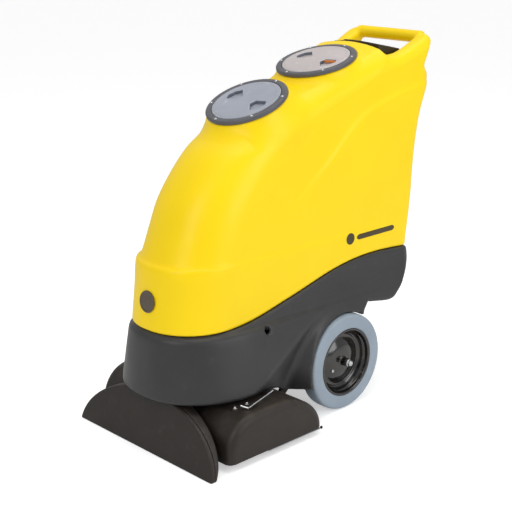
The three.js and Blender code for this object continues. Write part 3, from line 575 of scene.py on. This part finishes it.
def shoe_field(x, y, z, inward=0.0):
    """The shoe's arched outer shape, or the same shape drawn in by some millimetres."""
    arch, _ = superellipse(x, z, SHOE_HALF - inward, SHOE_HEIGHT - inward, 1.9)
    front = (-451 + inward + 0.3 * z - y) / math.hypot(1, 0.3)
    rear = (y + 432 + inward - 0.45 * z) / math.hypot(1, 0.45)
    edge = 0.8 if inward else 5
    return meet(meet(arch, front, edge), rear, edge)


def shoe_throat(x, y, z):
    """Distance to the middle line of the spigot that takes the hose."""
    return np.hypot(x, (y + 414) - 0.22 * (z - 128))


def shoe_shell(x, y, z):
    """Both halves of the shoe together, open at the bottom."""
    shell = meet(shoe_field(x, y, z), 0.3 - z, 1)
    return meet(shell, -np.where(z > -30, shoe_field(x, y, z, SHOE_WALL), 99), 1)


def shoe_split(y, z):
    """Distance in front of the joint between the face and the rest."""
    return (y + 441 - 0.3 * z) / math.hypot(1, 0.3)


def shoe_front(x, y, z):
    face = meet(shoe_shell(x, y, z), shoe_split(y, z) + 0.2, 1.2)
    return meet(face, -np.maximum(122 - z, shoe_throat(x, y, z) - 19), 0.8)


def shoe_rear(x, y, z):
    shell = meet(shoe_shell(x, y, z), 0.2 - shoe_split(y, z), 1.2)
    throat = shoe_throat(x, y, z)
    shell = merge(shell, meet(meet(throat - 18.5, z - 178, 1), 128 - z, 1), 4)
    shell = meet(shell, -meet(throat - 15.5, 110 - z, 1), 1)
    ear = outline(rounded([[-404, 132], [-404, 158], [-380, 158], [-380, 132]], 6), y, z)
    ear = meet(ear, np.abs(np.abs(x) - 51) - 3, 0.8)
    ear = meet(ear, 5.6 - np.hypot(y + 392, z - 150), 0.5)
    return merge(shell, ear, 2)


skin("shoe_face", shoe_front, (-256, -456, -4), (256, -380, 142), 2.2, black, "vac_shoe", "shoe_front_shell",
     slot="black_shell")
skin("shoe_back", shoe_rear, (-256, -456, -4), (256, -360, 182), 2.4, black, "vac_shoe", "shoe_rear_shell",
     slot="black_shell")


def deck_side(inward, bottom):
    """The domed deck's side outline, drawn in by some millimetres."""
    rise = 98 - inward
    rear = arc(-222, 25, 145 - inward, rise, 0, 90, 1.9, 18)
    front = arc(-300, 25, 89 - inward, rise, 90, 180, 2.2, 18)
    return np.vstack([[[-77 - inward, bottom]], rear, front, [[-389 + inward, bottom]]])


DECK_HALF, DECK_WALL = 245, 4
DECK_OUT, DECK_IN = deck_side(0, -60), deck_side(DECK_WALL, -70)
SLOT_X, SLOT_Y, SLOT_Z = 100, -86, 56  # middle of the slot that clears each of the deck's arms


def deck_field(x, y, z):
    across = np.abs(x)
    shell = meet(outline(DECK_OUT, y, z), across - DECK_HALF, 20)
    shell = meet(shell, 18 - z, 1.5)
    hollow = meet(outline(DECK_IN, y, z), across - DECK_HALF + DECK_WALL, 16)
    shell = meet(shell, -hollow, 1)
    shell = meet(shell, 10 - np.hypot(x, y + 112) + np.maximum(60 - z, 0), 1)
    slot = np.maximum(np.abs(across - SLOT_X) - 5.5, np.abs(y - SLOT_Y) - 26)
    slot = np.maximum(slot, np.abs(z - SLOT_Z) - 20)
    return meet(shell, -slot, 1)


skin("deck_cover", deck_field, (-252, -396, 12), (252, -70, 130), 3.2, black, "brush_deck", "deck_housing",
     slot="black_shell")


def strip_field(x, y, z):
    """The metal strip under the edge of the deck's left side."""
    return meet(np.abs(x - 243.2) - 2.2, np.maximum(np.abs(z - 15.8) - 1.9, np.abs(y + 173) - 89), 0.8)


def stop_field(x, y, z):
    """The rubber stop on the strip's rear end."""
    return meet(np.abs(x - 243) - 3, np.maximum(np.abs(z - 16.6) - 3.2, np.abs(y + 81) - 3), 1.5)


skin("deck_strip", strip_field, (238, -268, 11), (249, -72, 21), 1.0, steel, "brush_deck", "deck_edge_strip",
     slot="bright_steel")
skin("deck_stop", stop_field, (238, -82, 9), (249, -70, 22), 0.8, rubber, "brush_deck")

BOSS = [[-4, 0], [-4, 9], [0, 8], [1, 7], [1, 0]]
BOLT = [[0.5, 0], [0.5, 6], [1.6, 6], [1.6, 3.6], [4, 3.6], [5, 2.4], [5, 0]]
for i, y in enumerate((-318, -280)):
    place = (186, y, 124)
    turned(f"deck_boss_{i}", BOSS, place, (0, 0, 1), black, "brush_deck", sides=40)
    turned(f"deck_bolt_{i}", BOLT, place, (0, 0, 1), steel, "brush_deck", round_by=0.5, sides=40)


def tufts(rows, ring, strands):
    """Rows of bristle tufts set in a helix round the brush core, each strand a thin spike."""
    core, first_x, length = 21.5, -200, 416
    root_radius, tip_radius = 0.55, 0.3
    points, faces = [], []
    for row in range(rows):
        x = first_x + length * row / (rows - 1)
        for k in range(ring):
            turn = 2 * math.pi * (k / ring + 0.37 * row / ring) + rng.normal(0, 0.02)
            cosine, sine = math.cos(turn), math.sin(turn)
            for _ in range(strands):
                lean = turn + rng.normal(0, 0.045)
                shift = rng.normal(0, 1.5)
                start = np.array([x + shift * 0.5, core * cosine, core * sine])
                reach = rng.uniform(45.5, 47.8)
                tip = np.array([x + shift * 1.6, reach * math.cos(lean), reach * math.sin(lean)])
                first = len(points)
                for end, thick in ((start, root_radius), (tip, tip_radius)):
                    for side in range(3):
                        spin = turn + 2.1 * side
                        around = [math.cos(spin), -sine * math.sin(spin), cosine * math.sin(spin)]
                        points.append(end + thick * np.array(around))
                a, b, c, d, e, f = range(first, first + 6)
                faces += [(a, b, e, d), (b, c, f, e), (c, a, d, f), (c, b, a), (d, e, f)]
    return np.array(points) + [0, BRUSH_Y, BRUSH_Z], faces


add_mesh("tufts", *tufts(60, 26, 5), hair, "brush", "brush_bristles", slot="bristle")


# ------------------------------------------------------------------ wheels

# turned profiles: height along the axle from the wheel's middle, and radius
TYRE = [[-22.5, 90], [-22.5, 121], [-19, 125.6], [-11, 127], [11, 127], [19, 125.6], [22.5, 121], [22.5, 90]]
HUB_FACE = [[-22, 8.7], [24, 8.7], [24, 10.6], [9, 11.2], [7.5, 16], [6.7, 28], [3.6, 42], [-1.4, 53],
            [-5, 59], [-6, 63], [-6, 68], [-3, 70.5], [-1, 74], [8, 77], [12, 80.5], [20, 83], [22.2, 85]]
HUB_BACK = [[22.4, 87], [22.4, 89.7], [-21, 89.7], [-12, 74], [-8, 66], [-4, 24], [-22, 18]]
CAP = [[28.5, 0], [28.5, 8.5], [24.6, 8.5], [24.6, 10], [29, 9.8], [31, 7.8], [35, 7.4], [37.5, 5], [37.5, 0]]
SPACER = [[-29.6, 8.7], [-22.9, 8.7], [-22.9, 15], [-29.6, 15]]
RIVET = [[-3, 0], [-3, 4.6], [1.2, 4.6], [2.6, 3], [2.6, 0]]

for side, name in ((1, "left"), (-1, "right")):
    place = (side * WHEEL_X, WHEEL_Y, WHEEL_Z)
    axis = (side, 0, 0)
    body = name + "_wheel"
    turned(name + "_tread", TYRE, place, axis, tyre, body, name + "_tyre", round_by=2.5, slot="grey_tyre",
           sides=128)
    turned(name + "_dish", HUB_FACE + HUB_BACK, place, axis, gloss, body, name + "_hub", round_by=3.5,
           slot="gloss_black", sides=128)
    turned(name + "_cap", CAP, place, axis, steel, "machine", name + "_axle_cap", slot="bright_steel")
    turned(name + "_rivet", RIVET, (side * 166, 42, 107), axis, steel, body, sides=32)
    turned(name + "_spacer", SPACER, place, axis, steel, "machine", name + "_wheel_spacer",
           slot="bright_steel")


# ------------------------------------------------------------------ lids

# turned about each lid's axis; height 0 is the ring's top face
RING = [[-24, 84], [-24, 87], [-10, 87], [-10, 104], [-3.5, 104], [-0.6, 101.5], [0, 99], [0, 90.5],
        [-1, 88.5], [-8, 88.5], [-8, 84]]


def lid_field(pocket):
    """A lid about its own axis: a flange and skirt, with finger pockets sunk in its face."""
    def field(x, y, z):
        out = np.hypot(x, y)
        face = meet(meet(out - 87.4, z - 0.5, 2.5), -4 - z, 0.8)
        plug = meet(meet(out - 82.6, z + 3, 1), -21 - z, 1)
        lid = merge(face, plug, 0.8)
        lid = meet(lid, -meet(out - 76, z + 4, 3), 1)
        rim = meet(np.abs(out - 79) - 1.2, np.abs(z - 0.5) - 0.8, 0.6)
        lid = merge(lid, rim, 0.8)
        for way in (1, -1):
            well = outline(pocket, way * x, way * y)
            cup = meet(meet(well - 2, -11 - z, 2), z, 1)
            lid = merge(lid, cup, 1)
            lid = meet(lid, -meet(well, -8.5 - z, 1.5), 1)
        return lid
    return field


POCKET = rounded([[25, -13], [31, 3], [63, 8], [72, -8], [64, -27], [48, -38]], 3)
SCREW = [[-1, 0], [-1, 4], [0.6, 4], [1.8, 2.6], [2.1, 1.2], [1.2, 0.9], [1.2, 0]]
SCREW_CIRCLE = 96  # radius


def on_lid(thing, lid):
    """Turns a piece made about the lid's own axis into the lid's place."""
    turn = Matrix.Translation(Vector(lid["centre"]) * MM) @ Matrix.Rotation(lid["tilt"], 4, "X")
    thing.data.transform(turn)


for name, lid in LIDS.items():
    glazing = clear if name == "front" else misted
    turned(name + "_ring", RING, lid["centre"], lid["axis"], ring_grey, "machine", name + "_lid_ring",
           round_by=1.5, slot="lid_ring", sides=128)
    disc = skin(name + "_disc", lid_field(POCKET), (-92, -92, -26), (92, 92, 6), 1.6, glazing, name + "_lid",
                name + "_lid", slot="clear_lid")
    on_lid(disc, lid)
    for i in range(6):
        turn = math.radians(60 * i + 22)
        spot = SCREW_CIRCLE * Vector((math.cos(turn), math.sin(turn), 0))
        spot = Matrix.Rotation(lid["tilt"], 3, "X") @ spot + Vector(lid["centre"])
        turned(f"{name}_screw_{i}", SCREW, spot, lid["axis"], steel, "machine", round_by=0.5, sides=20)


def pocket_shade_field(x, y, z):
    """Painted shade: a darker, part-clear sheet over the walls of both finger pockets."""
    wells = np.minimum(outline(POCKET, x, y), outline(POCKET, -x, -y))
    return meet(np.abs(wells + 0.3) - 0.9, np.abs(z + 4.4) - 3.6, 0.4)


PULL = rounded([[32, -6], [33, -1.5], [63, 4], [65, -1]], 1.5)


def pull_field(x, y, z):
    """A bar across one finger pocket, just under the lid's face."""
    return meet(outline(PULL, x, y), np.abs(z + 3.2) - 2.8, 1.5)


# Painted shade: a darker sheet in each lid's finger pockets.
for name, lid in LIDS.items():
    pocket_shade_sheet = skin(name + "_pocket_shade", pocket_shade_field, (-76, -42, -9), (76, 42, 0.5), 0.8, pocket_shade_glaze, name + "_lid")
    on_lid(pocket_shade_sheet, lid)
on_lid(skin("rear_pull", pull_field, (28, -12, -8), (68, 9, 1), 0.8, orange, "rear_lid"), LIDS["rear"])


# ------------------------------------------------------------------ badge and decals

BADGE = [[0, 0], [0, 26.5], [2.2, 26.5], [3.6, 25], [3.6, 22.8], [2.2, 21.8], [2.6, 12], [2.8, 0]]
turned("nose_badge", BADGE, (0, -420.2, 367), (0, -0.9922, 0.1247), badge_face, "machine", "front_badge")


def side_patch(name, rows, side):
    """A thin print on the tank's side: rows of [y, z] points, laid on the surface."""
    place = np.array(rows, float)
    y, z = place[..., 0].ravel(), place[..., 1].ravel()
    x = np.full(y.shape, 150.0)
    for _ in range(12):
        x = x - tank_block(x, y, z)
    layers = [np.column_stack([side * (x + rise), y, z]) for rise in (0.5, -0.5)]
    tall, wide = place.shape[:2]
    number = np.arange(tall * wide).reshape(tall, wide)
    corners = (number[:-1, :-1], number[:-1, 1:], number[1:, 1:], number[1:, :-1])
    grid = [tuple(quad) for quad in np.stack(corners, -1).reshape(-1, 4).tolist()]
    far = tall * wide
    faces = grid + [tuple(v + far for v in reversed(quad)) for quad in grid]
    border = [*number[0], *number[1:, -1], *number[-1, -2::-1], *number[-2:0:-1, 0]]
    border = [int(v) for v in border]
    faces += [(b, a, a + far, b + far) for a, b in zip(border, border[1:] + border[:1])]
    if side < 0:
        faces = [quad[::-1] for quad in faces]
    add_mesh(name, np.vstack(layers), faces, decal, "machine")


def disc_rows(y, z, radius, count=16):
    """A round patch as a square grid squeezed into a circle."""
    t = np.linspace(-1, 1, count)
    u, v = np.meshgrid(t, t)
    across, up = u * np.sqrt(1 - v**2 / 2), v * np.sqrt(1 - u**2 / 2)
    return np.dstack([y + radius * across, z + radius * up])


def bar_rows(y0, y1, z, half, count=40):
    """A straight bar with round ends."""
    y, v = np.meshgrid(np.linspace(y0, y1, count), np.linspace(-1, 1, 6))
    ends = np.minimum(1, np.sqrt(np.clip((y - y0) * (y1 - y) / (half * (y1 - y0)), 0.12, 1)))
    return np.dstack([y, z + half * v * ends])


for side, label in ((1, "left"), (-1, "right")):
    side_patch(label + "_dot", disc_rows(129, 437, 15), side)
    side_patch(label + "_stripe", bar_rows(154, 300, 436, 7), side)


# ------------------------------------------------------------------ controls, cord and drain hose

# side outlines: the folded panel and its two cheeks
PANEL = rounded([[277, 882], [277, 916], [360, 899], [360, 852], [355, 852], [355, 894], [282, 909.5],
                 [282, 882]], 1.6)
CHEEK = [[277, 862], [277, 916], [360, 899], [360, 852], [340, 852]]


def panel_field(x, y, z):
    across, level = np.abs(x), z + 5 * (x / PANEL_HALF) ** 2
    panel = meet(outline(PANEL, y, level), across - PANEL_HALF, 1.5)
    cheeks = meet(outline(CHEEK, y, level), np.abs(across - 88.2) - 2.6, 1)
    panel = merge(panel, cheeks, 0.8)
    for _, centre in SWITCHES:
        window = np.maximum(np.abs(x - centre) - 12, np.abs(z - 873) - 16)
        panel = meet(panel, -np.maximum(window, 340 - y), 0.6)
        rim = meet(np.abs(window - 2) - 1.4, np.abs(y - PANEL_Y) - 1.4, 0.6)
        panel = merge(panel, rim, 0.6)
    return meet(panel, 8.5 - np.hypot(x - CORD_X, z - CORD_Z) + np.maximum(340 - y, 0), 0.6)


skin("switch_panel", panel_field, (-94, 272, 848), (94, 366, 918), 1.6, black, "machine", "control_panel",
     slot="black_shell")

ROCKER = rounded([[-14, -10], [-14, 10], [3, 13], [4.2, 11], [1.2, 0], [4.2, -11], [3, -13]], 1.6)


def rocker_field(centre):
    """A rocker tipped to its off side, with a line moulded in its upper end."""
    def field(x, y, z):
        tilt = math.radians(8)
        dy, dz = y - PANEL_Y, z - 874
        u = dy * math.cos(tilt) + dz * math.sin(tilt)
        v = dz * math.cos(tilt) - dy * math.sin(tilt)
        key = meet(outline(ROCKER, u, v), np.abs(x - centre) - 10.5, 1.2)
        mark = np.maximum(np.maximum(np.abs(x - centre) - 0.8, np.abs(v - 7) - 3), 1 - u)
        return meet(key, -mark, 0.2)
    return field


for label, centre in SWITCHES:
    skin(label + "_key", rocker_field(centre), (centre - 13, 340, 856), (centre + 13, 368, 892), 0.8, gloss,
         label + "_rocker", label + "_switch", slot="gloss_black")

cord_line = spline([[CORD_X, 352, CORD_Z], [CORD_X, 378, CORD_Z], [CORD_X, 415, 870], [CORD_X, 441, 852],
                    [CORD_X, 444, 800], [CORD_X, 438, 720], [CORD_X, 432, 641]], 12)
swept("cord", cord_line, 4.2, rubber, "machine", "power_cord", slot="black_rubber")
PLUG = [[581, 0], [581, 13], [584, 15], [611, 17], [620, 14], [632, 8], [639, 6], [639, 0]]
turned("plug", PLUG, (CORD_X, 432, 0), (0, 0, 1), rubber, "machine", "power_plug", round_by=2,
       slot="black_rubber", sides=48)
GLAND = [[-8, 4.6], [-8, 8], [0.4, 8], [0.4, 11], [4, 11], [4.6, 10], [5.4, 11], [8, 11], [16, 7], [16, 4.6]]
turned("gland", GLAND, (CORD_X, PANEL_Y, CORD_Z), (0, 1, 0), rubber, "machine", "cord_gland", round_by=0.6,
       slot="black_rubber", sides=48)


def ribbed(name, line, radius, pitch, node, sides):
    """A ribbed hose along a line."""
    ribs = radius + 0.8 * np.cos(np.arange(len(line)) * pitch)
    swept(name, line, ribs, hose_grey, "machine", node, slot="grey_hose", sides=sides)


drain_line = spline([[DRAIN_X, 382, DRAIN_Z], [DRAIN_X, 400, DRAIN_Z], [DRAIN_X, 422, 444],
                     [DRAIN_X, 430, 475], [DRAIN_X, 430, 560], [DRAIN_X, 430, 630], [DRAIN_X, 430, 672]], 30)
ribbed("drain_tube", drain_line, 15.2, 1.55, "drain_hose", 32)

suction_line = spline([[0, -372, 184], [0, -350, 212], [-16, -270, 232], [-50, -150, 236], [-72, -20, 246],
                       [-72, 50, 284], [-72, 62, 331]], 24)
ribbed("suction_hose", suction_line, 18.2, 1.3, "vac_hose", 36)


# ------------------------------------------------------------------ what stays as in the frame

def dress(node, material):
    """Gives a CAD node its finish and soft edges."""
    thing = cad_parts[node]
    thing.data.materials.clear()
    thing.data.materials.append(material)
    edge = thing.modifiers.new("edge", "BEVEL")
    edge.width = 0.6 * MM
    edge.segments = 2
    edge.limit_method = "ANGLE"
    edge.angle_limit = math.radians(35)


KEPT = {
    steel: ["axle", "deck_pivot_rod", "left_shoe_bracket", "right_shoe_bracket", "left_shoe_pin",
            "right_shoe_pin", "deck_link_rod", "brush_bearing", "brush_pulley", "motor_pulley", "spray_bar",
            "left_tank_bolt", "right_tank_bolt"],
    cast: ["vac_motor", "pump", "brush_motor"],
    rubber: ["front_lid_seal", "rear_lid_seal", "drain_cap", "pump_hose", "drive_belt"],
    white: ["inlet_pipe", "air_pipe", "air_hood"],
    orange: ["float_ring", "left_nozzle", "right_nozzle"],
    black: ["drain_hose_clip", "brush_core", "left_deck_arm", "right_deck_arm"],
}
for material, names in KEPT.items():
    for node in names:
        dress(node, material)


# ------------------------------------------------------------------ floor, light and camera

def aimed(place, aim):
    """The rotation that points a light or a camera at a spot."""
    return (Vector(aim) - Vector(place)).to_track_quat("-Z", "Y").to_euler()


def area_light(name, place, aim, size, power):
    light = bpy.data.lights.new(name, "AREA")
    light.shape = "RECTANGLE"
    light.size, light.size_y = size
    light.energy = power
    thing = bpy.data.objects.new(name, light)
    bpy.context.scene.collection.objects.link(thing)
    thing.location = place
    thing.rotation_euler = aimed(place, aim)


def seen_as(tree, target, lit, seen):
    """Gives an input one value for light and another for what the camera sees."""
    path = tree.nodes.new("ShaderNodeLightPath")
    value = tree.nodes.new("ShaderNodeMapRange")
    value.inputs[3].default_value = lit
    value.inputs[4].default_value = seen
    tree.links.new(path.outputs["Is Camera Ray"], value.inputs[0])
    tree.links.new(value.outputs[0], target)


floor_finish = finish("floor", (250, 250, 250), 0.6, grain=90, bump=0.02, drift=0.004, shine=0.2)
glow = floor_finish.node_tree.nodes["Principled BSDF"].inputs
glow["Emission Color"].default_value = (1, 1, 1, 1)
seen_as(floor_finish.node_tree, glow["Emission Strength"], 0, 0.44)
bpy.ops.mesh.primitive_plane_add(size=60, location=(0, 0, -0.0005))
floor = bpy.context.object
floor.name = "studio_floor"
floor.data.materials.append(floor_finish)

world = bpy.data.worlds.new("studio")
bpy.context.scene.world = world
world.use_nodes = True
sky = world.node_tree.nodes["Background"]
sky.inputs[0].default_value = (1, 1, 1, 1)
seen_as(world.node_tree, sky.inputs[1], 0.55, 1.1)

area_light("key", (0.75, -2.9, 2.1), (0, -0.1, 0.5), (0.9, 1.6), 20)
area_light("overhead", (0.2, 0.3, 3.2), (0, 0, 0.4), (2.4, 2.4), 32)
area_light("side", (3.0, 0.6, 1.5), (0, 0, 0.4), (1.6, 2.0), 29)

camera = bpy.data.objects.new("camera", bpy.data.cameras.new("camera"))
bpy.context.scene.collection.objects.link(camera)
camera.data.sensor_width = 36
camera.data.lens = 80.75
camera.data.shift_x = -0.0166
camera.location = (1.9996, -1.9863, 1.2505)
camera.rotation_euler = aimed(camera.location, (0, -0.04, 0.39687))
bpy.context.scene.camera = camera
bpy.context.scene.view_settings.view_transform = "Standard"
